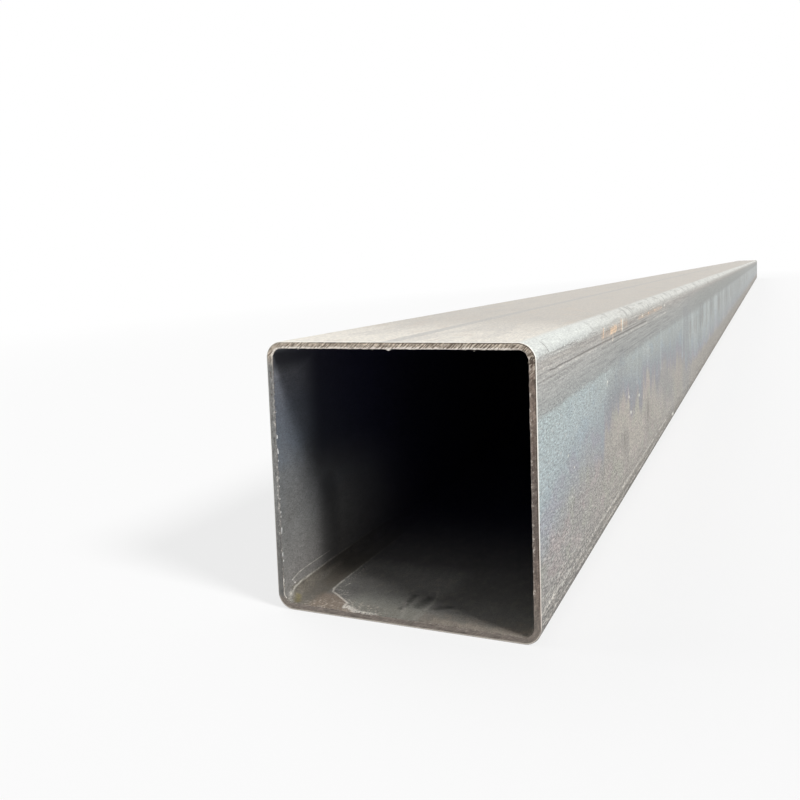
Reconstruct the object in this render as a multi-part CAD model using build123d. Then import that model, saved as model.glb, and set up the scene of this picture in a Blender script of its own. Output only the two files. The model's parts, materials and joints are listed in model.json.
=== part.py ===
from build123d import *
import os

# One stock length of cold-formed, longitudinally welded square steel tube.
# X runs along the tube, Y across it and Z up. The origin is the middle of the
# bottom face, so the tube lies on the plane Z = 0. All sizes are in millimetres.

# Driving dimensions: the section
side = 250.0  # outside, flat to flat
wall = 6.0
bend_radius = 9.0  # inside radius that the rolls leave in each corner

# Driving dimensions: the stock length and its sawn ends
stock_length = 12000.0
edge_break = 0.5  # burr knocked off the outer rim of each sawn end

# Driving dimensions: the flash of the longitudinal weld, left standing inside
bead_width = 5.0
bead_height = 1.6
toe_radius = 0.6  # where the flash runs out into the wall
seam_offset = 3.0  # along Y, from the middle of the top wall

# Sizes that follow
corner_radius = bend_radius + wall  # outside
bore = side - 2 * wall


def weld_bead():
    """The bead's cross-section: a low crown below Y = 0, rooted in the wall above it."""
    crown_radius = (bead_width**2 / 4 + bead_height**2) / (2 * bead_height)
    crown = Pos(0, crown_radius - bead_height) * Circle(crown_radius)
    band_align = (Align.CENTER, Align.MIN)
    band = Rectangle(2 * crown_radius, bead_height + wall / 2, align=band_align)
    return crown & (Pos(0, -bead_height) * band)


def section():
    """The tube's cross-section about its own centre, with the seam in the top wall."""
    outside = RectangleRounded(side, side, corner_radius)
    inside = RectangleRounded(bore, bore, bend_radius)
    profile = outside - inside + Pos(seam_offset, bore / 2) * weld_bead()
    toes = [
        profile.vertices().sort_by_distance((seam_offset + reach, bore / 2))[0]
        for reach in (-bead_width / 2, bead_width / 2)
    ]
    return fillet(toes, toe_radius)


def square_tube():
    """The section run out to the stock length, with both sawn outer rims eased."""
    middle = Pos(0, 0, side / 2) * (Plane.YZ * section())
    tube = extrude(middle, amount=stock_length / 2, both=True)
    sawn_ends = tube.faces().filter_by(Axis.X)
    outer_rims = [edge for end in sawn_ends for edge in end.outer_wire().edges()]
    return chamfer(outer_rims, edge_break)


tube = square_tube()
os.makedirs("parts", exist_ok=True)
export_step(tube, "parts/square_tube.step")
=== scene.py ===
import json
import math

import bpy
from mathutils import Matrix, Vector


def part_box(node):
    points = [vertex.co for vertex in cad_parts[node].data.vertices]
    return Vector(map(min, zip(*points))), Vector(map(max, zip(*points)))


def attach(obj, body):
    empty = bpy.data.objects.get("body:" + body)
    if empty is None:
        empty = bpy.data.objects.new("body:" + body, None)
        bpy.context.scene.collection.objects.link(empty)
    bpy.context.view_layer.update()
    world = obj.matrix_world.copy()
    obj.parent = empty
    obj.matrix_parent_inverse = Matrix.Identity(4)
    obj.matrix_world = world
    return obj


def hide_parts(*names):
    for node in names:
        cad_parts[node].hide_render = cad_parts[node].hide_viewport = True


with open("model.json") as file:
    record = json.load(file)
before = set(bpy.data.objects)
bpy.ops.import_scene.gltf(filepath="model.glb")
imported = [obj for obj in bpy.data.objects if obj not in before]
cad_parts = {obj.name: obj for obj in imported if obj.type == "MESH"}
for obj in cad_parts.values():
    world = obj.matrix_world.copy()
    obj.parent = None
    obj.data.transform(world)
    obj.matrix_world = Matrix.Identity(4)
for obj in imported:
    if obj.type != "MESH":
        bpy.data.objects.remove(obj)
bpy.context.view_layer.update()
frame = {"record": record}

tubeLow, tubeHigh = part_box("square_tube")
tubeLength = tubeHigh[0] - tubeLow[0]
tubeSide = tubeHigh[2] - tubeLow[2]
mouthX = tubeLow[0]  # the end that faces the camera
endMount = next(mount for mount in frame["record"]["mounts"] if mount["name"] == "left_end")
tubeWall = 2 * endMount["pos_m"][2]  # this mount sits in the middle of the bottom wall
mm = 0.001
cornerRadius = 15 * mm  # outside
origin = (0.0, 0.0, 0.0)

# faces that marks lie on: the axis that stays the same and its level in mm
sideFace = (1, -125)
wallFace = (1, 119)
floorFace = (2, 6)


# small helpers for node trees: all of them build in the tree that was opened last
work = {}


class Wire:
    # a node's output, on which plain arithmetic makes Math nodes
    def __init__(self, socket):
        self.socket = socket

    def __abs__(self):
        return calc("ABSOLUTE", self)


for sign, operation in (("add", "ADD"), ("sub", "SUBTRACT"), ("mul", "MULTIPLY"), ("truediv", "DIVIDE")):
    setattr(Wire, f"__{sign}__", lambda left, right, kind=operation: calc(kind, left, right))
    setattr(Wire, f"__r{sign}__", lambda right, left, kind=operation: calc(kind, left, right))


def plug(socket, feed):
    if isinstance(feed, Wire):
        work["tree"].links.new(feed.socket, socket)
    else:
        socket.default_value = feed


def addNode(kind, feeds=None, **settings):
    node = work["tree"].nodes.new(kind)
    for name, value in settings.items():
        setattr(node, name, value)
    for key, feed in (feeds or {}).items():
        plug(node.inputs[key], feed)
    return node


def output(kind, feeds=None, gives=0, **settings):
    return Wire(addNode(kind, feeds, **settings).outputs[gives])


def geo(kind, body=None, feeds=None, gives=0, **settings):
    # a geometry node, with the body that it works on, if any, on its first input
    first = {0: body} if body else {}
    return output("GeometryNode" + kind, {**first, **(feeds or {})}, gives, **settings)


def calc(operation, *values, clamp=False):
    return output("ShaderNodeMath", dict(enumerate(values)), operation=operation, use_clamp=clamp)


def larger(first, second):
    return calc("MAXIMUM", first, second)


def smaller(first, second):
    return calc("MINIMUM", first, second)


def vectorCalc(operation, *values, gives="Vector"):
    return output("ShaderNodeVectorMath", dict(enumerate(values)), gives, operation=operation)


def scaleVector(vector, share):
    return output("ShaderNodeVectorMath", {0: vector, "Scale": share}, operation="SCALE")


def ease(value, fromLow, fromHigh, toLow=0.0, toHigh=1.0):
    feeds = {"Value": value, "From Min": fromLow, "From Max": fromHigh, "To Min": toLow, "To Max": toHigh}
    return output("ShaderNodeMapRange", feeds, interpolation_type="SMOOTHSTEP")


def fade(value, low, high, first=0.0, last=1.0):
    # from the first value to the last between two levels in mm
    return ease(value, low * mm, high * mm, first, last)


def downTo(mask, least):
    # 1 off the mask and the least value on it
    return ease(mask, 0.0, 1.0, 1.0, least)


def band(value, low, high, soft):
    # 1 between two levels in mm, with soft edges
    return fade(value, low - soft, low + soft) * fade(value, high - soft, high + soft, 1.0, 0.0)


def splitXYZ(vector):
    return [Wire(socket) for socket in addNode("ShaderNodeSeparateXYZ", {0: vector}).outputs]


def joinXYZ(x=0.0, y=0.0, z=0.0):
    return output("ShaderNodeCombineXYZ", {0: x, 1: y, 2: z})


def noise(vector, scale=1.0, detail=2.0, seed=0.0, roughness=0.5, gives=0):
    feeds = {"Vector": vector, "W": seed, "Scale": scale, "Detail": detail, "Roughness": roughness}
    return output("ShaderNodeTexNoise", feeds, gives, noise_dimensions="4D")


def startGroup(name, takes, gives, kind="ShaderNodeTree"):
    # opens a group: its inputs with their first values, and its one output
    tree = work["tree"] = bpy.data.node_groups.new(name, kind)
    kinds = {float: "Float", int: "Int", tuple: "Vector", bpy.types.Material: "Material"}
    outKind = "NodeSocketFloat"
    if kind == "GeometryNodeTree":
        outKind = "NodeSocketGeometry"
        tree.interface.new_socket(name="Geometry", in_out="INPUT", socket_type=outKind)
    for key, value in takes.items():
        socketKind = "NodeSocket" + kinds[type(value)]
        socket = tree.interface.new_socket(name=key, in_out="INPUT", socket_type=socketKind)
        if not isinstance(value, bpy.types.Material):
            socket.default_value = value
    tree.interface.new_socket(name=gives, in_out="OUTPUT", socket_type=outKind)
    given = {socket.name: Wire(socket) for socket in addNode("NodeGroupInput").outputs}
    return tree, given, addNode("NodeGroupOutput").inputs[0]


def useGroup(group, **feeds):
    return output("ShaderNodeGroup", feeds, node_tree=group)


# effects that several finishes share
def makeGrain():
    # grains of the oxide, longer along X by the stretch: 0 on average
    takes = {
        "Vector": origin, "Size": 2 * mm, "Stretch": 1.0, "Detail": 3.0, "Roughness": 0.6,
        "Contrast": 1.0, "Seed": 0.0,
    }
    tree, given, out = startGroup("oxide grain", takes, "Value")
    x, y, z = splitXYZ(given["Vector"])
    drawn = joinXYZ(x / given["Stretch"], y, z)
    grains = noise(drawn, 1.0 / given["Size"], given["Detail"], given["Seed"], given["Roughness"])
    plug(out, (grains - 0.5) * given["Contrast"])
    return tree


def makeStroke():
    # a ragged mark from one place to another, 1 on its line and 0 past its width
    takes = {
        "Vector": origin, "From": origin, "To": origin, "Width": 2 * mm,
        "Core": 0.5, "Rag": 0.6, "Rag Length": 2 * mm, "Seed": 0.0,
    }
    tree, given, out = startGroup("stroke mark", takes, "Mask")
    reach = vectorCalc("SUBTRACT", given["Vector"], given["From"])
    run = vectorCalc("SUBTRACT", given["To"], given["From"])
    covered = vectorCalc("DOT_PRODUCT", reach, run, gives="Value")
    whole = vectorCalc("DOT_PRODUCT", run, run, gives="Value")
    share = smaller(larger(covered / larger(whole, 1e-9), 0.0), 1.0)
    away = vectorCalc("LENGTH", vectorCalc("SUBTRACT", reach, scaleVector(run, share)), gives="Value")
    widths = away / given["Width"]
    rag = noise(given["Vector"], 1.0 / given["Rag Length"], 3.0, given["Seed"], 0.65) - 0.5
    ragged = widths + rag * (given["Rag"] * 4.0)
    plug(out, ease(ragged, given["Core"], 1.0, 1.0, 0.0))
    return tree


def makeEndWear():
    # 1 at both sawn ends, fading over the reach
    takes = {"Vector": origin, "Half Length": tubeLength / 2, "Reach": 2 * mm, "Rag": 0.4, "Seed": 0.0}
    tree, given, out = startGroup("end wear", takes, "Mask")
    inset = given["Half Length"] - abs(splitXYZ(given["Vector"])[0])
    rag = noise(given["Vector"], 0.7 / given["Reach"], 2.0, given["Seed"]) - 0.5
    ragged = inset / given["Reach"] + rag * given["Rag"]
    plug(out, ease(ragged, 0.2, 1.0, 1.0, 0.0))
    return tree


def makeWallDepth():
    # how far in from the outer skin a point of the section lies, round its corners too
    takes = {"Vector": origin, "Side": tubeSide, "Corner": cornerRadius}
    tree, given, out = startGroup("wall depth", takes, "Depth")
    y, z = splitXYZ(given["Vector"])[1:]
    half = given["Side"] * 0.5
    core = half - given["Corner"]
    pastY = abs(y) - core
    pastZ = abs(z - half) - core
    corner = vectorCalc("LENGTH", joinXYZ(larger(pastY, 0.0), larger(pastZ, 0.0)), gives="Value")
    flat = smaller(larger(pastY, pastZ), 0.0)
    plug(out, given["Corner"] - (corner + flat))
    return tree


def makeColumns():
    # upright runs side by side along the tube, uneven in width and darkness: 0 on average
    takes = {"Vector": origin, "Column": 50 * mm, "Height": 400 * mm, "Seed": 0.0}
    tree, given, out = startGroup("upright runs", takes, "Value")
    x, y, z = splitXYZ(given["Vector"])
    side = calc("SIGN", y) * 7.0  # keeps the runs of the two sides apart
    place = joinXYZ(x / given["Column"], side, z / given["Height"])
    plug(out, noise(place, 1.0, 3.0, given["Seed"], 0.55) - 0.5)
    return tree


grainGroup = makeGrain()
strokeGroup = makeStroke()
endWearGroup = makeEndWear()
wallDepthGroup = makeWallDepth()
columnGroup = makeColumns()
print("shared effects made")


# finishes: a coat in their settings is its share, then its tint
def tint(red, green, blue):
    # screen values from 0 to 255, as Blender's own linear colour
    def linear(value):
        share = value / 255
        return share / 12.92 if share <= 0.04045 else ((share + 0.055) / 1.055) ** 2.4

    return (linear(red), linear(green), linear(blue), 1.0)


def mixTint(factor, first, second, blend="MIX"):
    first, second = [tint(*over) if isinstance(over, tuple) else over for over in (first, second)]
    return output("ShaderNodeMix", {0: factor, 6: first, 7: second}, 2, data_type="RGBA", blend_type=blend)


def lay(colour, mask, share, over):
    # puts a tint over a colour where the mask is
    return mixTint(mask * share, colour, over)


def coat(colour, spec, **masks):
    # lays on the named coats in turn, each where its mask is
    for name, mask in masks.items():
        colour = lay(colour, mask, *spec[name])
    return colour


def shade(colour, amount):
    # multiplies a colour by 1 plus a number that varies over the surface
    factor = larger(amount + 1.0, 0.05)
    return mixTint(1.0, colour, joinXYZ(factor, factor, factor), "MULTIPLY")


def heightRamp(height, bands):
    # bands: height up the tube in mm, then the tint there
    node = addNode("ShaderNodeValToRGB", {0: height / tubeSide})
    elements = node.color_ramp.elements
    while len(elements) < len(bands):
        elements.new(0.5)
    for element, (level, *colour) in zip(elements, bands):
        element.position = level * mm / tubeSide
    for element, (level, *colour) in zip(elements, bands):
        element.color = tint(*colour)
    return Wire(node.outputs[0])


def grainOf(place, size, seed, stretch=1.0, detail=3.0, contrast=1.0):
    # size in mm
    feeds = {"Size": size * mm, "Seed": seed, "Stretch": stretch, "Detail": detail, "Contrast": contrast}
    return useGroup(grainGroup, Vector=place, **feeds)


def speckle(place, size, stretch, seed, shares):
    # grain of several sizes, each twice as big as the last, added up around 0
    total = None
    for step, share in enumerate(shares):
        one = grainOf(place, size * 2**step, seed + step, stretch, 2.0, share)
        total = one if total is None else total + one
    return total


def strokes(place, marks, core, rag, length, face):
    # marks as one mask: each is its width, then its points from the mouth, across and up, all in mm;
    # points of two numbers lie on the face
    axis, level = face
    mask = None
    seed = 0
    for width, *points in marks:
        ends = [point if len(point) == 3 else (*point[:axis], level, *point[axis:]) for point in points]
        for start, end in zip(ends, ends[1:]):
            feeds = {"From": [part * mm for part in start], "To": [part * mm for part in end]}
            feeds.update({"Width": width * mm, "Core": core, "Rag": rag, "Rag Length": length * mm})
            one = useGroup(strokeGroup, Vector=place, Seed=float(seed), **feeds)
            mask = one if mask is None else larger(mask, one)
            seed += 1
    return mask


def drawMarks(colour, place, drawn, masks, face):
    # lays on every set of marks in turn: core, rag, length of the rag in mm, coat, marks
    for name, (core, rag, length, (share, over), marks) in drawn.items():
        mask = strokes(place, marks, core, rag, length, face)
        if name in masks:
            mask = mask * masks[name]
        colour = lay(colour, mask, share, over)
    return colour


def startMaterial(name):
    material = bpy.data.materials.new(name)
    material.use_nodes = True
    work["tree"] = material.node_tree
    centred = output("ShaderNodeTexCoord", gives="Object")
    fromMouth = output("ShaderNodeMapping", {"Vector": centred, "Location": (-mouthX, 0, 0)})
    return material, fromMouth


def finish(spec, colour, relief, rough):
    shader = work["tree"].nodes["Principled BSDF"].inputs
    plug(shader["Base Color"], colour)
    plug(shader["Metallic"], spec["metallic"])
    plug(shader["Roughness"], calc("ADD", spec["roughness"], rough, clamp=True))
    feeds = {"Height": relief, "Distance": spec["reliefDepth"], "Strength": 0.7}
    plug(shader["Normal"], output("ShaderNodeBump", feeds))
    return shader


millSkin = dict(
    metallic=0.3,
    roughness=0.5,
    reliefDepth=0.25 * mm,
    grainSize=1.3,  # mm
    oxideLevel=100 * mm,  # where the grey scale turns blue at the mouth
    # height up the side in mm, then the tint; in both ramps the dark stops at the bottom are painted contact
    # shade, and the pale stops at the top corner are partly a painted sky reflection on the rolled corner
    nearBands=(
        (0, 104, 100, 96), (12, 112, 108, 104), (20, 131, 128, 123), (27, 145, 141, 136),
        (36, 139, 136, 131), (68, 142, 139, 136), (92, 143, 146, 148), (120, 149, 159, 162),
        (150, 160, 171, 173), (185, 163, 174, 174), (190, 146, 149, 147), (218, 167, 166, 162),
        (232, 167, 163, 157), (239, 200, 203, 199), (243.5, 219, 222, 217),
    ),
    farBands=(
        (0, 96, 93, 89), (14, 106, 102, 96), (22, 127, 122, 114), (30, 138, 133, 126), (80, 144, 139, 130),
        (112, 133, 133, 137), (136, 137, 143, 146), (164, 151, 156, 154), (185, 156, 162, 160),
        (192, 139, 141, 139), (218, 149, 149, 145), (232, 158, 154, 148), (239, 182, 181, 175),
        (243.5, 206, 206, 200),
    ),
    mouthTopTint=(222, 216, 205),
    topTint=(186, 180, 171),
    bottomTint=(146, 142, 136),
    # the rim tints: worn metal at the sawn ends with a painted highlight, dimmer low down
    rimMetalHighlight=(248, 246, 238),
    lowRimMetalHighlight=(214, 203, 194),
    # coats of scale and dirt, and of painted shade low down far along and in darker stretches of the side
    warmScale=(0.75, (164, 158, 148)),
    lilacCloud=(0.5, (160, 147, 145)),
    oliveCloud=(0.4, (152, 154, 140)),
    blueCloud=(0.5, (140, 154, 164)),
    fringe=(0.5, (141, 137, 147)),
    distant=(0.4, (152, 153, 151)),
    distantHigh=(0.45, (120, 123, 119)),
    # painted shade: darker low down far along
    distantLow=(0.4, (120, 114, 106)),
    # painted shade over the darker stretches of the side
    shadow=(0.5, (124, 126, 128)),
    darkDash=(0.45, (112, 103, 97)),
    paleDash=(0.5, (178, 172, 162)),
    grime=(0.5, (104, 101, 97)),
    wornPatch=(0.5, (158, 155, 148)),
    crossMark=(0.6, (142, 140, 135)),
    topGrey=(0.35, (172, 168, 163)),
    topTan=(0.35, (190, 177, 162)),
    seam=(0.6, (168, 166, 163)),
    seamEdge=(0.5, (214, 209, 200)),
    brightSpeck=(0.36, (212, 211, 205)),
    darkSpeck=(0.16, (100, 98, 97)),
    # darker stretches of the side, painted shade: marks with their width, then points along and up the side
    # in mm
    shadows=(
        (46, (430, 182), (330, 150)), (60, (780, 112), (1000, 66)), (140, (1300, 150), (1320, 60)),
    ),
    # core, rag, length of the rag in mm, coat, then marks as above
    drawn=dict(
        darkLines=(0.3, 0.15, 2, (0.8, (96, 90, 84)), (
            (1, (44, 222.6), (62, 221.8), (78, 222.6), (118, 222.2), (160, 222.4)),
            (1.4, (160, 222.4), (646, 221.2)),
            (1, (36, -119, 247), (40, -122.4, 243.5), (41, -124.1, 240), (43, -124.7, 238.4)),
        )),
        faintLines=(0.2, 0.3, 2, (0.45, (104, 98, 92)), (
            (0.9, (5, 222.5), (21, 222), (35, 223)), (1.1, (10, 236.4), (150, 236.6)),
            (1.2, (150, 233), (620, 232.4)), (0.8, (20, 229.6), (170, 229.4)), (1, (0, 216.6), (180, 216.2)),
            (1.2, (280, 225.6), (600, 225)), (1.2, (280, 216), (700, 215)), (1.4, (0, 22), (700, 22)),
            (1.2, (0, 35.5), (700, 35)),
        )),
        paleLines=(0.3, 0.15, 2, (0.4, (210, 206, 198)), (
            (1.1, (30, 220.6), (252, 219.8)), (1.7, (280, 219.2), (900, 217.5)),
            (1, (20, 226), (180, 225.6)), (1.2, (34, -121, 246.6), (38, -123.6, 242), (39, -124.4, 239)),
            (1.8, (0, 16.5), (900, 16.5)), (2.6, (0, 27), (900, 27)),
        )),
        rustGlow=(0, 0.8, 6, (0.5, (188, 166, 144)), (
            (8.5, (284, 230), (461, 231.8)), (5, (564, 230.6), (840, 230.6)),
        )),
        rust=(0.3, 0.45, 6, (0.85, (224, 195, 163)), (
            (5.6, (340, 230.8), (378, 231)), (3.6, (417, 238), (415, 227.5)),
            (3.6, (294, 236.5), (292, 228.5)), (2.4, (354, 226), (353, 219)),
            (2.4, (596, 230.5), (604, 230.5)), (2.2, (668, 230.8), (676, 230.8)),
            (2.2, (736, 231), (752, 231)),
        )),
        runs=(0, 0.5, 6, (0.4, (178, 186, 185)), (
            (5, (303, 192), (303, 165)), (9, (548, 188), (545, 143)), (10, (663, 188), (658, 147)),
            (13, (828, 188), (822, 129)), (14, (1210, 186), (1204, 110)),
        )),
        flecks=(0.3, 0.4, 2, (0.75, (220, 219, 209)), (
            (2.4, (311, 171.7), (316, 175.7)), (1.4, (107, 134.7), (111, 135.7)),
            (2, (600, 231.4), (612, 231.4)), (2.6, (871, 231.3), (888, 231.3)), (1.3, (120, 93), (124, 93)),
            (1.1, (88, 40.3), (90, 40.3)), (1.4, (354, 226.4), (353, 218)), (5.4, (426, 239), (424, 228)),
            (2.4, (300, 242.8), (301, 232.5)), (1.3, (76, 24), (79, 25)), (1.3, (132, 118), (135, 119)),
            (3, (470, 134), (476, 133)), (3.2, (484, 111), (492, 110)), (3, (560, 122), (570, 121)),
            (4, (1000, 17), (1020, 17)),
        )),
        dents=(0.4, 0.2, 2, (0.7, (98, 95, 93)), (
            (1.2, (115, 84.2), (118, 84.2)), (1.3, (79, 94.1), (82, 94.1)), (0.9, (32, 125.8), (35, 124.8)),
            (2.6, (112, 29), (121, 27)), (2.2, (88, 22), (96, 22)), (1.8, (60, 26), (67, 25)),
        )),
        # pale dried drops, one under the other
        drips=(0.2, 0.4, 2, (0.55, (200, 194, 181)), (
            (3.4, (470, 150), (462, 96)), (3.4, (520, 132), (512, 84)), (4, (610, 120), (600, 70)),
            (3.2, (480, 74), (476, 44)), (4.4, (700, 112), (694, 66)),
        )),
    ),
)


def makeMillSkin():
    spec = millSkin
    material, place = startMaterial("mill scale skin")
    x, y, z = splitXYZ(place)
    onSide = fade(abs(y), 118, 124)
    # fine grain stands out at the mouth and coarse grain further along
    shares = (ease(x, 0.15, 0.6, 3, 1.2), ease(x, 0.1, 0.5, 0.8, 1.7), ease(x, 0.6, 1.8, 0, 1.2))
    grain = speckle(place, spec["grainSize"], 4, 4, shares)
    blotch = grainOf(place, 9, 1, 4, 4)
    wide = grainOf(place, 34, 31, 4, 4)

    # the blue scale hangs over the grey in uneven runs, longer and deeper further along
    columns = useGroup(columnGroup, Vector=place, Column=70 * mm, Seed=3)
    narrow = useGroup(columnGroup, Vector=place, Column=22 * mm, Height=160 * mm, Seed=8)
    broad = useGroup(columnGroup, Vector=place, Column=190 * mm, Height=900 * mm, Seed=12)
    away = ease(x, 0.16, 0.4)
    deep = ease(x, 0.95, 1.6)
    level = ease(x, 0, 0.14, 86 * mm, 116 * mm) + ease(x, 0.2, 0.42, 0, 16 * mm)
    level = level - deep * (74 * mm)
    uneven = columns * (230 * mm) + narrow * (110 * mm)
    hem = level + uneven * (0.12 + away * 0.88)
    sink = (spec["oxideLevel"] - hem) * (fade(z, 36, 92) * fade(z, 132, 188, 1, 0))

    # bands up the side wander a little at their edges
    wander = blotch * (14 * mm) + wide * (9 * mm) + ease(x, 0.4, 2, 0, 6 * mm)
    held = fade(z, 205, 236, 1, 0.06)
    moved = z + sink + wander * held
    near = heightRamp(moved, spec["nearBands"])
    far = heightRamp(moved, spec["farBands"])
    colour = mixTint(ease(x, 0.1, 0.45), near, far)

    # shading from run to run, warm scale under the hem, an evener grey far along, and painted shade low down
    # far along and in darker stretches of the side
    onBlue = onSide * (band(z, 60, 188, 14) * away)
    runs = narrow * 0.5 + columns * 0.6 + broad * (deep * 1.7)
    colour = shade(colour, runs * onBlue)
    under = band(moved, 44, 94, 10) * (away * ease(x, 0.7, 1.3, 1, 0.1))
    lilac = grainOf(place, 18, 17, 2.2, 4)
    cloudy = grainOf(place, 24, 11, 2, 4)
    lowSkin = band(moved, 36, 92, 10) * onSide * ease(x, 0.8, 1.6, 1, 0.25)
    clouds = band(moved, 110, 186, 12) * onSide * ease(x, 0.05, 0.3, 0.3, 1)
    colour = coat(
        colour, spec,
        warmScale=under * ease(wide, -0.12, 0.06, 0.2, 1) * onSide,
        lilacCloud=lowSkin * ease(lilac, 0, 0.1),
        oliveCloud=lowSkin * ease(cloudy, -0.02, -0.1),
        fringe=band(moved, 92, 122, 9) * ease(lilac, -0.06, 0.1) * onSide,
        blueCloud=clouds * ease(cloudy, 0.02, 0.14),
        distant=ease(x, 1.8, 3.2) * band(z, 48, 190, 10) * onSide,
        distantHigh=ease(x, 1.1, 1.8) * band(z, 189, 228, 4) * onSide,
        distantLow=ease(x, 1.2, 2.2) * band(z, 14, 62, 8) * onSide,
        shadow=strokes(place, spec["shadows"], 0, 0.5, 60, sideFace),
    )

    # lines left by the rolls, strongest in the grey band and low down
    lines = grainOf(place, 1.5, 21, 60, 2)
    lowBand = fade(z, 34, 50, 1, 0)
    upBand = band(z, 194, 238, 3) * ease(x, 0.6, 1.6, 1, 0.35)
    upLines = upBand * ease(x, 0.15, 0.4, 1.3, 2.2)
    lineShare = 0.1 + (upLines + lowBand * 1.3)
    dash = grainOf(place, 2, 24, 12, 2)
    colour = coat(
        colour, spec,
        darkDash=ease(dash, 0.05, 0.12) * band(z, 226, 239, 3) * onSide,
        paleDash=ease(dash, -0.05, -0.13) * (lowBand * onSide),
        grime=ease(dash, 0.06, 0.12) * band(z, 19, 31, 3) * onSide,
    )

    # the pale corner is smooth at the mouth and crossed by short marks further along
    onCorner = fade(z, 237, 240) * fade(abs(y), 106, 113)
    patch = grainOf(place, 6, 14, 9)
    cross = grainOf(place, 30, 19, 0.5)
    worn = onCorner * ease(x, 0.05, 0.5, 0.1, 1)
    crossed = worn * ease(cross, 0.05, 0.11)
    colour = coat(colour, spec, wornPatch=worn * ease(patch, 0.03, 0.14), crossMark=crossed)

    # top face, paler at the mouth, with the dressed weld along it, and the bottom face
    flat = fade(abs(y), 107, 115, 1, 0)
    upper = fade(z, 100, 150)
    top = mixTint(ease(x, 0.02, 0.3), spec["mouthTopTint"], spec["topTint"])
    seamEdge = larger(band(y, -4.2, -3.4, 0.4), band(y, 9.4, 10.2, 0.4))
    top = coat(
        top, spec,
        topGrey=ease(wide, 0, 0.14),
        topTan=ease(lilac, 0.02, 0.14),
        seam=band(y, -3.5, 9.5, 0.8),
        seamEdge=seamEdge * ease(blotch, -0.08, 0.08),
    )
    colour = mixTint(flat, colour, mixTint(upper, spec["bottomTint"], top))

    # drawn lines, rust on the tan band, runs, flecks, dents and drips
    broken = ease(grainOf(place, 3, 41, 9), -0.14, 0.02)
    drops = ease(grainOf(place, 11, 27, 1.6, 2), 0, 0.1)
    masks = {"faintLines": broken, "paleLines": broken, "drips": drops}
    colour = drawMarks(colour, place, spec["drawn"], masks, sideFace)

    # grain over everything, with stray bright and dark specks, and a bright rim at the sawn ends, worn metal
    # with a painted highlight that is dimmer low down
    specks = grainOf(place, 2.2, 51, 3.4, 1)
    smooth = downTo(onCorner * ease(x, 0.1, 0.6, 1, 0.7), 0.35) * downTo(flat * upper, 0.45)
    smooth = smooth * downTo(upBand, 0.75)
    coarser = fade(z, 60, 130, 1.6, 1)
    grit = grain * (smooth * coarser)
    nearby = ease(x, 0.1, 0.6, 1, 0.5)
    colour = shade(colour, grit + lines * (lineShare * smooth))
    share, over = spec["brightSpeck"]
    colour = lay(colour, ease(specks, 0.12, 0.2) * (coarser * nearby), smooth * share, over)
    share, over = spec["darkSpeck"]
    colour = lay(colour, ease(specks, -0.13, -0.21) * nearby, (1 - onCorner) * share, over)
    centred = output("ShaderNodeTexCoord", gives="Object")
    wear = useGroup(endWearGroup, Vector=centred, Reach=2.4 * mm, Seed=2)
    # the rim's painted highlight fades towards the bottom
    rimMetalHighlight = mixTint(fade(z, 40, 110), spec["lowRimMetalHighlight"], spec["rimMetalHighlight"])
    colour = lay(colour, wear * fade(z, 6, 20, 0.2, 1), 0.95, rimMetalHighlight)
    shader = finish(spec, colour, (grain + lines) * 0.6, grain * 0.2)
    plug(shader["Specular IOR Level"], fade(z, 8, 45, 0.05, 0.5))  # less specular towards the lower corner, which keeps it dark with the painted contact shade there
    return material


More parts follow.
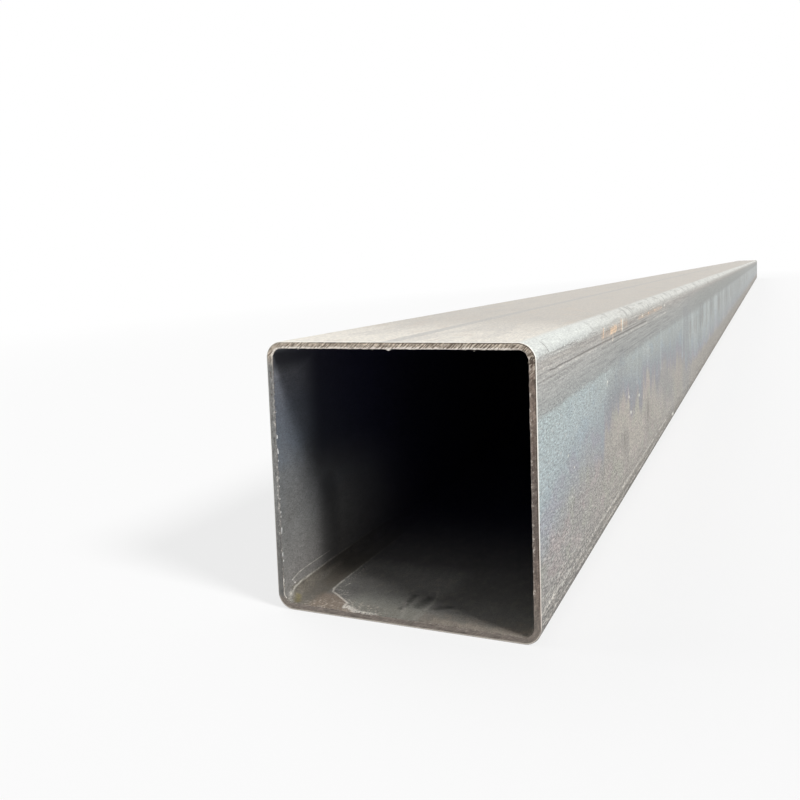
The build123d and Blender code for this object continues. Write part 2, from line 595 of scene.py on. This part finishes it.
boreSkin = dict(
    metallic=0.25,
    roughness=0.55,
    reliefDepth=0.15 * mm,
    grainSize=1.2,  # mm
    # height up the wall in mm, then the tint
    wallBands=(
        (0, 138, 136, 132), (24, 143, 141, 138), (70, 136, 136, 134), (120, 129, 131, 132),
        (155, 120, 127, 135), (190, 120, 125, 133), (225, 132, 134, 138), (250, 132, 134, 138),
    ),
    floorTint=(138, 136, 132),
    # painted shade: the bore darkens with the distance from the nearer end, sooner higher up the wall
    deepShadeTint=(50, 50, 76),
    deepestTint=(86, 88, 104),
    # coats of scale, dried water and dirt; the strip at the mouth is also painted light
    floorMottle=(0.35, (166, 162, 151)),
    brown=(0.85, (122, 115, 103)),
    front=(0.6, (150, 143, 132)),
    middle=(0.5, (166, 166, 156)),
    warm=(0.6, (178, 166, 153)),
    tan=(0.7, (168, 150, 134)),
    paleSpot=(0.75, (222, 211, 198)),
    rimWear=(0.7, (206, 199, 189)),
    # painted glints on bits of burr along the rim
    rimDot=(0.95, (250, 250, 248)),
    # core, rag, length of the rag in mm, coat, then marks: width and points in mm, along and across
    # where they lie on the floor
    drawn=dict(
        yellow=(0, 0.3, 2, (0.6, (148, 138, 84)), ((5, (6, 108), (17, 113.9, 6.9)),)),
        smudges=(0, 0.4, 5, (0.62, (66, 65, 64)), (
            (5, (22, 9.4), (38, 9.2), (54, 8.7)), (8, (30, -3), (40, -4), (51, -6.5)),
            (7, (31, -19), (35, -25), (38, -31)),
        )),
        scrapes=(0, 0.4, 5, (0.4, (186, 182, 174)), (
            (2.4, (25.4, -12.1), (40.4, -13.4), (56.2, -11.6), (69.4, -8)), (4.5, (38, 13), (17, 4), (6, 2)),
            (4, (3.6, -11), (20, -12)),
        )),
        waterLine=(0, 0.3, 2, (1, (214, 211, 202)), (
            (1.9, (14, 117.9, 10.7), (16.4, 118.5, 12.2), (21.8, 118.9, 13.8),
             (33, 119, 14.8), (48, 119, 15.2)),
            (1.7, (48, 119, 15.2), (86, 119, 16), (364, 119, 16.8)),
            (2.6, (1, 111.7, 6.2), (6.3, 116.1, 8.4), (12.7, 118.4, 11.7)),
            (2.2, (45.6, 90.8), (66, 91.8), (121, 92.4), (521, 93.7)),
            (0.8, (17, 119, 22.3), (29, 119, 24.9), (41, 119, 25.6), (90, 119, 25.8)),
            (1.2, (54.8, 83.3), (62.2, 81.6)),
        )),
        waterFront=(0.2, 0.4, 2, (1, (244, 238, 228)), (
            (5, (10, 57), (3, 47)),
            (1.7, (45.6, 90.8), (38, 88.2), (31.4, 79.2), (22.9, 68.7), (17.1, 61.4)),
            (2, (17.1, 61.4), (9.4, 61.7), (6.3, 60.1), (8.5, 55.5), (1.6, 45.6)),
            (5, (2.2, 46), (1.5, 39), (1.2, 27.3)),
            (1.4, (0.5, 119, 28), (0.6, 118.9, 14), (1.2, 117.4, 9.8)),
        )),
        # fine curls in the dried outline
        curls=(0, 0.4, 2, (0.45, (220, 214, 204)), (
            (1.1, (42.9, 88.7), (44.5, 84.1), (42.6, 79.7)), (1.2, (25, 64), (17, 56.5), (10.5, 52.7)),
            (1.2, (14.6, 48.8), (10.5, 44.5)), (1.1, (33, 78), (36, 72)),
        )),
        # strips beside the outline where the water dried in spots
        splashes=(0.2, 0.5, 5, (0.6, (214, 208, 198)), (
            (8, (48, 86), (12, 50)), (5, (60, 86), (110, 86)), (6, (4, 114, 9), (22, 119, 18)),
        )),
    ),
    # bright dots on the rim, bits of burr painted as white glints: width, then points along and up the left
    # wall
    rimDots=(
        (1.1, (1.6, 185.5), (1.6, 185)), (1.5, (1.8, 162.6), (1.8, 161.4)), (1.3, (1.4, 150.5), (2.2, 147)),
        (1, (1.6, 140), (1.6, 139.6)), (0.8, (1.4, 124), (1.4, 123.6)), (0.8, (1.6, 116), (1.6, 115.6)),
        (0.8, (1.4, 104.2), (1.4, 103.8)), (1.1, (1.5, 91.8), (1.5, 91.2)), (1, (1.5, 87.4), (1.5, 87)),
        (1.2, (1.9, 76), (1.2, 72)), (0.9, (1.4, 53), (1.4, 50)), (0.9, (2, 45.4), (2, 44.8)),
        (1.1, (1.5, 26.6), (1.5, 26)), (1, (20.2, 17.6), (20.4, 17.6)), (0.9, (16.6, 21.6), (16.8, 21.6)),
    ),
)


def makeBoreSkin():
    spec = boreSkin
    material, place = startMaterial("bore scale skin")
    centred = output("ShaderNodeTexCoord", gives="Object")
    x, y, z = splitXYZ(place)
    inset = tubeLength / 2 - abs(splitXYZ(centred)[0])
    clouds = grainOf(place, 30, 5, 1.4, 4)
    patches = grainOf(place, 8, 6, 1.3, 4)
    grain = speckle(place, spec["grainSize"], 2, 9, (1.5, 0.6, 0.3))
    lines = grainOf(place, 2.6, 4, 40, 2)

    # scale bands up the walls and the paler floor
    moved = z + clouds * (90 * mm) * fade(z, 40, 90)
    walls = heightRamp(moved, spec["wallBands"])
    floorMask = fade(z, 7, 12, 1, 0)
    colour = mixTint(floorMask, walls, spec["floorTint"])

    # dried water in the left corner, brown inside its outline but not between the rim and its curl;
    # a mottled strip at the mouth, paler in the middle and warmer to the right, and brighter near the mouth
    # as painted light; and a tan patch with pale spots between the mouth and the ragged outline
    corner = fade(y, 91, 94) * fade(z, 15, 17, 1, 0)
    brown = corner * ease(clouds, -0.2, 0.06, 0.55, 1)
    brown = brown * (ease(x, 0.05, 0.3, 1, 0.35) * fade(x, 10, 30, 0.55, 1))
    brown = brown * fade(x - (y - 109 * mm) * 1.3, -1, 2)
    frontEdge = x + patches * (60 * mm)
    curled = grainOf(place, 3, 8)
    tan = floorMask * fade(y - 44 * mm - x, 0, 3) * fade(y, 90, 100, 1, 0)
    spotted = band(y, 20, 100, 8) * fade(frontEdge, 8, 26, 1, 0)
    colour = coat(
        colour, spec,
        floorMottle=floorMask * ease(patches, 0, 0.14),
        brown=brown,
        front=fade(frontEdge, 10, 34, 1, 0) * floorMask,
        middle=floorMask * band(y, -12, 62, 10) * fade(x, 20, 66, 1, 0),
        warm=floorMask * fade(y, -8, -30) * fade(frontEdge, 4, 20, 1, 0),
        tan=tan * fade(x, 26, 40, 1, 0),
        paleSpot=spotted * floorMask * ease(curled, 0.03, 0.1),
    )

    # smudges, scrapes and the outline that the water left, fainter further in
    masks = {
        "waterLine": ease(patches, -0.12, 0.06, 0.35, 1) * ease(x, 0.05, 0.18, 0.9, 0.2),
        "waterFront": ease(curled, -0.14, -0.02, 0.6, 1) * fade(x, 12, 44, 1, 0.62),
        "splashes": ease(grainOf(place, 1.6, 9, detail=1), 0.06, 0.14),
    }
    colour = drawMarks(colour, place, spec["drawn"], masks, floorFace)

    # grain over everything; painted shade deep inside and high on the walls near the mouth, and painted
    # light on the floor
    colour = shade(colour, grain + (clouds * 0.4 + lines * 0.12))
    # painted shade high on the walls near the mouth, with a darker fold at its edge and under the top corner
    paintedShade = fade(inset, 38, 88) * fade(z, 75, 150, 0, 0.82)
    shadeFold = band(inset, 74, 112, 14) * fade(z, 90, 150, 0.5, 0)
    crownShade = fade(z, 216, 232, 0, 0.68) * fade(z, 239, 243, 1, 0)
    paintedShade = larger(larger(paintedShade, shadeFold), crownShade) * (1 - floorMask)
    # painted light: a paler band on the bore's floor where light reaches in
    paintedFloorLight = band(inset, 62, 125, 16) * band(y, -22, 94, 10)
    colour = shade(colour, paintedFloorLight * floorMask * 0.55 - paintedShade)
    # painted shade deep in the bore, sooner higher up the wall; then the bore's own dark oxide further in
    deep = ease(inset + fade(z, 15, 240) * (120 * mm), 0.04, 0.36)
    colour = mixTint(deep, colour, spec["deepShadeTint"])
    colour = mixTint(ease(inset, 0.5, 1.4), colour, spec["deepestTint"])
    wear = useGroup(endWearGroup, Vector=centred, Reach=1.6 * mm, Rag=0.8, Seed=7)
    dots = grainOf(place, 3, 13, detail=2)
    onFloor = larger(ease(dots, 0, 0.1), fade(z, 200, 240))
    # painted glints on the burrs of the left rim
    dotted = strokes(place, spec["rimDots"], 0.5, 0.1, 2, wallFace)
    colour = coat(colour, spec, rimWear=wear * onFloor, rimDot=dotted)
    finish(spec, colour, grain + lines * 0.3, grain * 0.4)
    return material


sawnSteel = dict(
    metallic=0.3,
    roughness=0.5,
    reliefDepth=0.4 * mm,
    topTint=(182, 169, 153),
    sideTint=(134, 118, 107),
    middleTint=(106, 95, 89),
    lowTint=(126, 117, 109),
    farSideTint=(134, 134, 132),
    farLowTint=(112, 111, 108),
    # the inner rim: bright burr with a painted highlight, strongest along the top
    rimMetalHighlight=(246, 238, 227),
    # coats of saw lines, ribs, pits and rims
    darkLine=(0.85, (98, 84, 70)),
    brightLine=(0.75, (230, 217, 200)),
    darkRib=(0.9, (70, 57, 47)),
    brightRib=(0.6, (212, 199, 184)),
    pit=(0.8, (78, 58, 46)),
    dullEdge=(0.85, (80, 67, 55)),
    lowEdge=(0.85, (226, 218, 207)),
    farEdge=(0.6, (166, 166, 163)),
    farInner=(0.7, (72, 70, 68)),
    sawAngle=40,  # degrees from level
    sawPitch=2 * mm,
)


def makeSawnSteel():
    spec = sawnSteel
    material, place = startMaterial("sawn steel end")
    y, z = splitXYZ(place)[1:]
    depth = useGroup(wallDepthGroup, Vector=place)
    mottle = grainOf(place, 3.2, 15)
    fine = grainOf(place, 1.3, 16, detail=2)
    upper = fade(z, 224, 243)
    lower = fade(z, 12, 60, 1, 0)
    underside = fade(z, 8, 14, 1, 0)
    farSide = fade(y, 100, 117) * (1 - underside)
    side = mixTint(band(z, 60, 170, 45), spec["sideTint"], spec["middleTint"])
    colour = mixTint(lower, side, spec["lowTint"])
    colour = mixTint(farSide, colour, mixTint(fade(z, 40, 120), spec["farLowTint"], spec["farSideTint"]))
    colour = mixTint(upper, colour, spec["topTint"])

    # lines of the saw, boldest at the top, and streaks along the walls
    turn = {"Vector": place, "Rotation": (math.radians(spec["sawAngle"]), 0, 0)}
    alongSaw, acrossSaw = splitXYZ(output("ShaderNodeMapping", turn))[1:]
    drawn = joinXYZ(0, alongSaw / 5, acrossSaw)
    waver = grainOf(drawn, 3.4, 2, detail=2)
    phase = acrossSaw / spec["sawPitch"] + waver * 3
    wave = calc("SINE", phase * (2 * math.pi))
    scored = grainOf(drawn, 1.2, 22, detail=2, contrast=5)
    saw = wave * ease(waver, -0.12, 0.12, 0.25, 1) + scored
    bold = (0.09 + upper * 0.9) * downTo(farSide * (1 - upper), 0.25)
    brightLine = ease(saw, 0.1, 0.9) * bold
    colour = coat(colour, spec, darkLine=ease(saw, 0, -0.8) * bold, brightLine=brightLine)
    streaks = grainOf(joinXYZ(depth, y * 0.16, z * 0.16), 1.2, 28, detail=2, contrast=1.6)
    streaks = streaks * downTo(upper, 0.2)
    gritty = (mottle * 1.1 + fine * 1.4) * downTo(lower, 0.5)
    colour = shade(colour, gritty + streaks)

    # marks that cross the wall, fanning out round its top corners
    turned = calc("ARCTAN2", z - tubeSide / 2, y)
    fanned = joinXYZ(0, turned * (tubeSide / 2), depth / 3.5)
    ribs = grainOf(fanned, 2.2, 35, detail=2)
    ribShare = fade(y, -96, -112) * fade(z, 70, 160) * fade(z, 206, 232, 0.2, 1)
    brightRib = ribShare * ease(ribs, -0.04, -0.13)
    colour = coat(colour, spec, darkRib=ribShare * ease(ribs, 0.02, 0.1), brightRib=brightRib)

    # brown pits down the middle of the wall, a dull line under the outer edge and bright rims; the inner rim
    # is bright burr with a painted highlight, strongest along the top
    dash = grainOf(joinXYZ(depth, y * 0.25, z * 0.25), 1.1, 6, detail=2)
    pitted = ease(dash, 0, 0.1) * band(depth, 2.6, 4.2, 0.5)
    offTop = downTo(upper, 0.25) * fade(z, 90, 200, 0.15, 1)
    waved = depth + mottle * (3 * mm)
    dull = band(waved, 0.5, 1.5, 0.3) * ease(mottle, -0.16, 0)
    onRight = fade(z, 20, 60) * fade(y, 100, 60)
    outer = fade(depth, 0.7, 1.6, 1, 0)
    colour = coat(
        colour, spec,
        pit=pitted * offTop,
        dullEdge=dull * onRight,
        lowEdge=outer * underside,
        farEdge=outer * farSide,
    )
    # painted highlight on the inner rim, strongest along the top
    innerRim = ease(waved + saw * (0.4 * mm), tubeWall - 1.7 * mm, tubeWall - 0.8 * mm)
    onSides = ease(mottle, 0.04, 0.14, 0.05, 0.5) * downTo(lower, 0.1)
    onTop = upper * ease(saw, -1.2, 0.4, 0.4, 1) * fade(y, -118, -100, 0.15, 1)
    colour = lay(colour, innerRim, larger(onTop, onSides), spec["rimMetalHighlight"])
    inner = ease(depth, tubeWall - 1.6 * mm, tubeWall - 0.9 * mm) * farSide * ease(dash, -0.06, 0.06)
    colour = coat(colour, spec, farInner=inner * fade(z, 100, 60))
    finish(spec, colour, saw * 0.2 + fine, fine * 0.5)
    return material


burrMetal = dict(
    metallic=0.4,
    roughness=0.4,
    reliefDepth=0.1 * mm,
    dullTint=(112, 102, 94),
    brightTint=(226, 218, 206),
)


def makeBurrMetal():
    spec = burrMetal
    material, place = startMaterial("bright burr")
    grain = grainOf(place, 0.8, 21, contrast=1.5)
    y, z = splitXYZ(place)[1:]
    high = fade(z, 228, 240) * fade(y, -116, -104)
    blobs = grainOf(place, 4, 23, detail=2)
    bright = larger(high, ease(blobs, 0.08, 0.14))
    colour = shade(mixTint(bright, spec["dullTint"], spec["brightTint"]), grain)
    finish(spec, colour, grain, grain * 0.2)
    return material


millMaterial = makeMillSkin()
boreMaterial = makeBoreSkin()
sawnMaterial = makeSawnSteel()
burrMaterial = makeBurrMetal()
print("finishes made")


# the tube wall: a swept skin, its bore and two sawn ends, with the weld's flash inside
tubeBody = {
    "Length": tubeLength,
    "Side": tubeSide,
    "Wall": tubeWall,
    "Corner Radius": cornerRadius,
    "Column Spacing": 1.15 * mm,
    "Rows": 42,
    "End Rows": 8,
    "Edge Break": 0.5 * mm,
    "Saw Depth": 0.3 * mm,
    "Rag": 0.7 * mm,
    "Flash Width": 5 * mm,
    "Flash Height": 1.6 * mm,
    "Flash Offset": 3 * mm,
    "Flash Rows": 120,
    "Skin": millMaterial,
    "Bore": boreMaterial,
    "Sawn": sawnMaterial,
}
# share of the length, then share of the bake map
bakeStops = ((0.0, 0.0), (0.05, 0.32), (0.96, 0.88), (1.0, 1.0))


def applyTree(name, group, values, mesh=None):
    # runs a Geometry Nodes tree and keeps the result as a plain mesh at the origin
    carrier = bpy.data.objects.new(name + "_source", mesh or bpy.data.meshes.new(name + "_source"))
    bpy.context.collection.objects.link(carrier)
    modifier = carrier.modifiers.new("build", "NODES")
    modifier.node_group = group
    sockets = {item.name: item.identifier for item in group.interface.items_tree if item.in_out == "INPUT"}
    for key, value in values.items():
        modifier[sockets[key]] = value
    evaluated = carrier.evaluated_get(bpy.context.evaluated_depsgraph_get())
    made = bpy.data.meshes.new_from_object(evaluated)
    bpy.data.objects.remove(carrier)
    for slot in reversed(range(len(made.materials))):
        if made.materials[slot] is None:  # an empty slot of the carrier
            made.materials.pop(index=slot)
    piece = bpy.data.objects.new(name, made)
    bpy.context.collection.objects.link(piece)
    return piece


def boundaryPath(given):
    cornerPoints = 16
    square = geo("CurvePrimitiveQuadrilateral", None, {"Width": given["Side"], "Height": given["Side"]})
    feeds = {"Radius": given["Corner Radius"], "Count": cornerPoints}
    rounded = geo("FilletCurve", square, feeds, mode="POLY")
    return geo("ResampleCurve", rounded, {"Length": given["Column Spacing"]}, mode="LENGTH")


def crowd(factor):
    # rows crowd towards both ends, where the detail is
    rising = calc("POWER", factor, 3)
    falling = calc("POWER", 1 - factor, 3)
    return rising / (rising + falling)


def storeValue(geometry, name, value, **settings):
    return geo("StoreNamedAttribute", geometry, {"Name": name, "Value": value}, **settings)


def readValue(name, **settings):
    return geo("InputNamedAttribute", None, {"Name": name}, **settings)


def join(parts):
    node = addNode("GeometryNodeJoinGeometry")
    for part in parts:
        plug(node.inputs[0], part)
    return Wire(node.outputs[0])


def layDown(geometry, place):
    # the section's X becomes Y, its Y becomes Z and the run becomes X
    turn = (math.pi / 2, 0, math.pi / 2)
    return geo("Transform", geometry, {"Translation": place, "Rotation": turn})


def weldFlash(given, half):
    # the weld's flash: a low uneven ridge, half buried in the top wall
    feeds = {"Vertices": 20, "Side Segments": given["Flash Rows"], "Radius": 1, "Depth": 2}
    ridge = addNode("GeometryNodeMeshCylinder", feeds).outputs
    across, up, run = splitXYZ(geo("InputPosition"))
    turn = calc("ARCTAN2", up, across) / (2 * math.pi)
    body = storeValue(Wire(ridge["Mesh"]), "round", turn + 0.5)
    body = storeValue(body, "part", 5 - Wire(ridge["Side"]), domain="FACE")
    share = crowd(run * 0.5 + 0.5)
    along = (share - 0.5) * ((half - 0.35 * mm) * 2)
    ripple = 0.68 + noise(joinXYZ(0, 0, along), 40, 3, 8) * 0.5
    width = across * ripple * (given["Flash Width"] * 0.5)
    height = up * ripple * given["Flash Height"]
    wallTop = given["Side"] * 0.5 - given["Wall"]
    place = joinXYZ(width + given["Flash Offset"], height + wallTop, along)
    body = geo("SetPosition", body, {"Position": place})
    return geo("SetMaterial", body, {"Material": given["Bore"]})


def storeBakeMap(body, given):
    # the export's texture map: U runs along the tube, crowded at the mouth, and V round it, part by part
    x, y, z = splitXYZ(geo("InputPosition"))
    halfSide = given["Side"] * 0.5
    fromMouth = x + given["Length"] * 0.5
    along = calc("DIVIDE", fromMouth, given["Length"], clamp=True)
    curve = addNode("ShaderNodeFloatCurve", {"Value": along})
    points = curve.mapping.curves[0].points
    while len(points) < len(bakeStops):
        points.new(0.5, 0.5)
    for point, stop in zip(points, bakeStops):
        point.location = stop
        point.handle_type = "VECTOR"
    curve.mapping.update()
    u = Wire(curve.outputs[0])
    around = readValue("round")
    faceRound = geo("FieldOnDomain", None, {"Value": around}, domain="FACE")
    cornerRound = geo("FieldOnDomain", None, {"Value": around}, domain="CORNER")
    unrolled = cornerRound + calc("GREATER_THAN", faceRound - cornerRound, 0.3)
    depth = halfSide - larger(abs(y), abs(z - halfSide))
    share = depth / given["Wall"]
    part = readValue("part")
    capU = (u + y * 6) * 0.8 + 0.1

    # skin, bore, near end, far end, flash and its caps: the part's number, its U, the V that it
    # starts from, how much V it takes and its own V
    rows = (
        (0, u, 0, 0.52, unrolled),
        (1, u, 0.53, 0.32, unrolled),
        (2, unrolled, 0.89, 0.04, share),
        (3, unrolled, 0.945, 0.04, share),
        (4, u, 0.858, 0.022, unrolled),
        (5, capU, 0.99, 0.008, share),
    )
    finalU = finalV = 0
    for code, ownU, start, span, ownV in rows:
        chosen = calc("COMPARE", part, code, 0.2)
        finalU = finalU + chosen * ownU
        finalV = finalV + chosen * (start + ownV * span)
    place = joinXYZ(finalU, finalV, 0)
    return storeValue(body, "OFBake", place, data_type="FLOAT2", domain="CORNER")


def makeTubeTree():
    tree, given, out = startGroup("tube wall", tubeBody, "Geometry", "GeometryNodeTree")
    path = boundaryPath(given)
    path = storeValue(path, "outward", geo("InputNormal"), data_type="FLOAT_VECTOR")
    factor = geo("SplineParameter", gives="Factor")
    path = storeValue(path, "round", factor)
    half = given["Length"] * 0.5

    def sweep(rows, x, y, material, turned, part):
        line = geo("CurvePrimitiveLine", None, {"End": (0, 1, 0)})
        dense = geo("ResampleCurve", line, {"Count": rows})
        shape = geo("SetPosition", dense, {"Position": joinXYZ(x, y, 0)})
        body = geo("CurveToMesh", path, {"Profile Curve": shape})
        if turned:
            body = geo("FlipFaces", body)
        body = geo("SetMaterial", body, {"Material": material})
        return storeValue(body, "part", part, domain="FACE")

    along = (crowd(factor) - 0.5) * given["Length"]
    limit = half - given["Edge Break"]
    eased = smaller(larger(along, limit * -1), limit)
    atEnd = calc("GREATER_THAN", abs(factor - 0.5), 0.4999)
    skinY = eased + atEnd * (along - eased)
    skinX = atEnd * given["Edge Break"] * -1
    step = (given["Edge Break"] + factor * (given["Wall"] - given["Edge Break"])) * -1
    skin = sweep(given["Rows"], skinX, skinY, given["Skin"], False, 0)
    bore = sweep(given["Rows"], given["Wall"] * -1, along, given["Bore"], True, 1)
    nearEnd = sweep(given["End Rows"], step, half, given["Sawn"], False, 2)
    farEnd = sweep(given["End Rows"], step, half * -1, given["Sawn"], True, 3)
    whole = join((weldFlash(given, half), farEnd, nearEnd, bore, skin))
    body = geo("MergeByDistance", whole, {"Distance": 0.01 * mm})

    # the saw leaves the end faces uneven and the bore's rim ragged; nothing grows past the stock's size
    here = geo("InputPosition")
    hereX, hereY, hereZ = splitXYZ(here)
    onEnd = fade(half - abs(hereZ), 0, 0.4, 1, 0)
    outward = readValue("outward", data_type="FLOAT_VECTOR")
    pit = noise(here, 90, 3, 1, 0.6) * given["Saw Depth"] * onEnd
    away = pit * calc("SIGN", hereZ) * -1
    body = geo("SetPosition", body, {"Offset": joinXYZ(0, 0, away)})
    depth = given["Side"] * 0.5 - larger(abs(hereX), abs(hereY))
    innerRim = onEnd * fade(depth, 4.6, 5.9)
    chips = ease(noise(here, 240, 3, 7, 0.7), 0.4, 0.7, -0.45, 1)
    reach = innerRim * chips * (given["Rag"] * -1)
    body = geo("SetPosition", body, {"Offset": scaleVector(outward, reach)})

    body = layDown(body, joinXYZ(0, 0, given["Side"] * 0.5))
    sharpAngle = math.radians(32)
    edges = calc("GREATER_THAN", geo("InputMeshEdgeAngle"), sharpAngle)
    body = geo("SetShadeSmooth", body, {"Selection": edges, "Shade Smooth": False}, domain="EDGE")
    body = geo("RealizeInstances", storeBakeMap(body, given))
    part = readValue("part")
    sawn = larger(calc("COMPARE", part, 2.5, 0.6), calc("COMPARE", part, 5, 0.2))
    plug(out, geo("SetMaterial", body, {"Selection": sawn, "Material": given["Sawn"]}))
    return tree


tubePiece = applyTree("tube_wall", makeTubeTree(), tubeBody)
print("tube wall swept:", len(tubePiece.data.polygons), "faces")

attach(tubePiece, "root")
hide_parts("square_tube")

# burrs that the saw leaves hanging on the inner rim of both ends
sawBurrs = {
    "Length": tubeLength,
    "Side": tubeSide - 2 * tubeWall,
    "Corner Radius": 9 * mm,
    "Column Spacing": 1.1 * mm,
    "Thickness": 0.6 * mm,
    "Inset": 0.9 * mm,
    "Chip Spacing": 7 * mm,
    "Chip Size": 0.5 * mm,
    "Share": 0.5,
    "Seed": 4,
    "Burr": burrMaterial,
}
# the biggest chips of the near end: across and up in mm
bigChips = (
    (91.9, 243.0), (18.6, 243.2), (-73.4, 242.6), (-66, 243.6), (-118.2, 233.6), (118.4, 211.3),
    (118.4, 185.7), (118.4, 26.7), (118.6, 20.5), (-118.9, 131), (-119.1, 120.3), (45.3, 6.3),
    (40, 6.3), (35.4, 6.3), (-52.7, 6.3),
)


def makeBurrTree():
    tree, given, out = startGroup("saw burrs", sawBurrs, "Geometry", "GeometryNodeTree")
    rim = boundaryPath(given)
    here = geo("InputPosition")
    lean = vectorCalc("SUBTRACT", noise(here, 260, seed=9, gives="Color"), (0.5, 0.5, 0.5))
    stray = vectorCalc("MULTIPLY", lean, (0.8 * mm, 0.8 * mm, 0.4 * mm))
    wavy = geo("SetPosition", rim, {"Offset": stray})
    heap = noise(here, 210, 3, 3, 0.7)
    heaped = ease(heap, 0.4, 0.64, 0.1, 1) * fade(splitXYZ(here)[1], 104, 116, 0.45, 1)
    profile = geo("CurvePrimitiveCircle", None, {"Resolution": 6, "Radius": 1})
    ribbon = geo("CurveToMesh", wavy, {"Profile Curve": profile, "Scale": heaped * given["Thickness"]})

    chip = geo("MeshIcoSphere", None, {"Radius": given["Chip Size"], "Subdivisions": 1})
    spots = geo("CurveToPoints", wavy, {"Length": given["Chip Spacing"]}, mode="LENGTH")
    feeds = {0: (0, 0, 0), 1: (6, 6, 6), "Seed": given["Seed"]}
    turn = output("FunctionNodeRandomValue", feeds, data_type="FLOAT_VECTOR")
    feeds = {0: (0.7, 0.5, 0.5), 1: (1.5, 1, 1), "Seed": 7}
    grow = output("FunctionNodeRandomValue", feeds, data_type="FLOAT_VECTOR")
    feeds = {"Probability": given["Share"], "Seed": 11}
    pick = output("FunctionNodeRandomValue", feeds, 3, data_type="BOOLEAN")
    spread = {"Instance": chip, "Rotation": turn, "Scale": grow}
    chips = geo("InstanceOnPoints", spots, {"Selection": pick, **spread})
    ring = join((ribbon, chips))

    # one ring at each end, laid down as the tube is, and the big chips on their seats
    reach = given["Length"] * 0.5 - given["Inset"]
    lift = given["Side"] * 0.5 + tubeWall
    parts = []
    for way, spin in ((-1, 0), (1, math.pi / 2)):
        spun = geo("Transform", ring, {"Rotation": (0, 0, spin)})
        parts.append(layDown(spun, joinXYZ(reach * way, 0, lift)))
    parts.append(geo("InstanceOnPoints", given["Geometry"], spread))
    body = geo("RealizeInstances", join(parts))
    plug(out, geo("SetMaterial", body, {"Material": given["Burr"]}))
    return tree


chipX = mouthX + sawBurrs["Inset"]
chipSeats = bpy.data.meshes.new("chip_seats")
chipSeats.from_pydata([(chipX, y * mm, z * mm) for y, z in bigChips], [], [])
burrPiece = applyTree("saw_burrs", makeBurrTree(), sawBurrs, chipSeats)
print("saw burrs scattered:", len(burrPiece.data.polygons), "faces")

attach(burrPiece, "root")


# floor, light and camera
studio = dict(
    floorTint=(246, 246, 246),
    floorSize=600,
    floorDrop=0.3 * mm,  # below the tube
    # towards the lamp, its power and its softness in degrees
    keySun=((-0.3, -1.0, 0.84), 2.45, 15),
    fillSun=((0.3, 1.0, 0.9), 1.1, 60),
    worldLevel=0.24,
    lens=37.77,
    sensorWidth=36,
    shiftY=-0.0625,  # the frame sits a little below the lens axis
    cameraPlace=(-6.6448, -0.29357, 0.31181),
    cameraTurn=(84.4405, 2.0248, -66.3058),  # degrees
)


def addSun(name, towards, power, softness):
    lamp = bpy.data.lights.new(name, "SUN")
    lamp.energy = power
    lamp.angle = math.radians(softness)
    holder = bpy.data.objects.new(name, lamp)
    holder.rotation_mode = "QUATERNION"
    holder.rotation_quaternion = Vector(towards).to_track_quat("Z", "Y")
    bpy.context.collection.objects.link(holder)


def seenRays():
    path = addNode("ShaderNodeLightPath").outputs
    mirrored = larger(Wire(path["Is Glossy Ray"]), Wire(path["Is Transmission Ray"]))
    return larger(Wire(path["Is Camera Ray"]), mirrored)


def makeWorld():
    world = bpy.data.worlds.new("studio")
    world.use_nodes = True
    work["tree"] = world.node_tree
    background = world.node_tree.nodes["Background"].inputs
    plug(background["Color"], (1, 1, 1, 1))
    plug(background["Strength"], ease(seenRays(), 0.0, 1.0, studio["worldLevel"], 1.0))
    bpy.context.scene.world = world


def makeFloor():
    material = bpy.data.materials.new("pale floor")
    material.use_nodes = True
    work["tree"] = material.node_tree
    shader = material.node_tree.nodes["Principled BSDF"]
    plug(shader.inputs["Base Color"], tint(*studio["floorTint"]))
    plug(shader.inputs["Roughness"], 0.8)
    plug(shader.inputs["Specular IOR Level"], 0.0)
    glow = output("ShaderNodeEmission", {"Color": (1, 1, 1, 1), "Strength": 1.0})
    # the floor turns plain white away from the tube, and keeps its shadow under it
    flat = vectorCalc("MULTIPLY", output("ShaderNodeTexCoord", gives="Object"), (1 / 12, 1 / 4, 0))
    away = ease(vectorCalc("LENGTH", flat, gives="Value"), 0.5, 1.1, 0.7, 1.0)
    feeds = {0: away * seenRays(), 1: Wire(shader.outputs[0]), 2: glow}
    surface = material.node_tree.nodes["Material Output"].inputs["Surface"]
    plug(surface, output("ShaderNodeMixShader", feeds))
    bpy.ops.mesh.primitive_plane_add(size=studio["floorSize"], location=(0, 0, -studio["floorDrop"]))
    floor = bpy.context.object
    floor.name = "pale_floor"
    floor.data.materials.append(material)


def makeCamera():
    view = bpy.data.cameras.new("camera")
    view.lens = studio["lens"]
    view.sensor_width = studio["sensorWidth"]
    view.shift_y = studio["shiftY"]
    view.clip_start = 0.01
    view.clip_end = 2000
    camera = bpy.data.objects.new("camera", view)
    camera.location = studio["cameraPlace"]
    camera.rotation_euler = [math.radians(turn) for turn in studio["cameraTurn"]]
    bpy.context.collection.objects.link(camera)
    bpy.context.scene.camera = camera


addSun("key", *studio["keySun"])
addSun("fill", *studio["fillSun"])
makeWorld()
makeFloor()
makeCamera()
bpy.context.scene.view_settings.view_transform = "Standard"
print("studio ready")
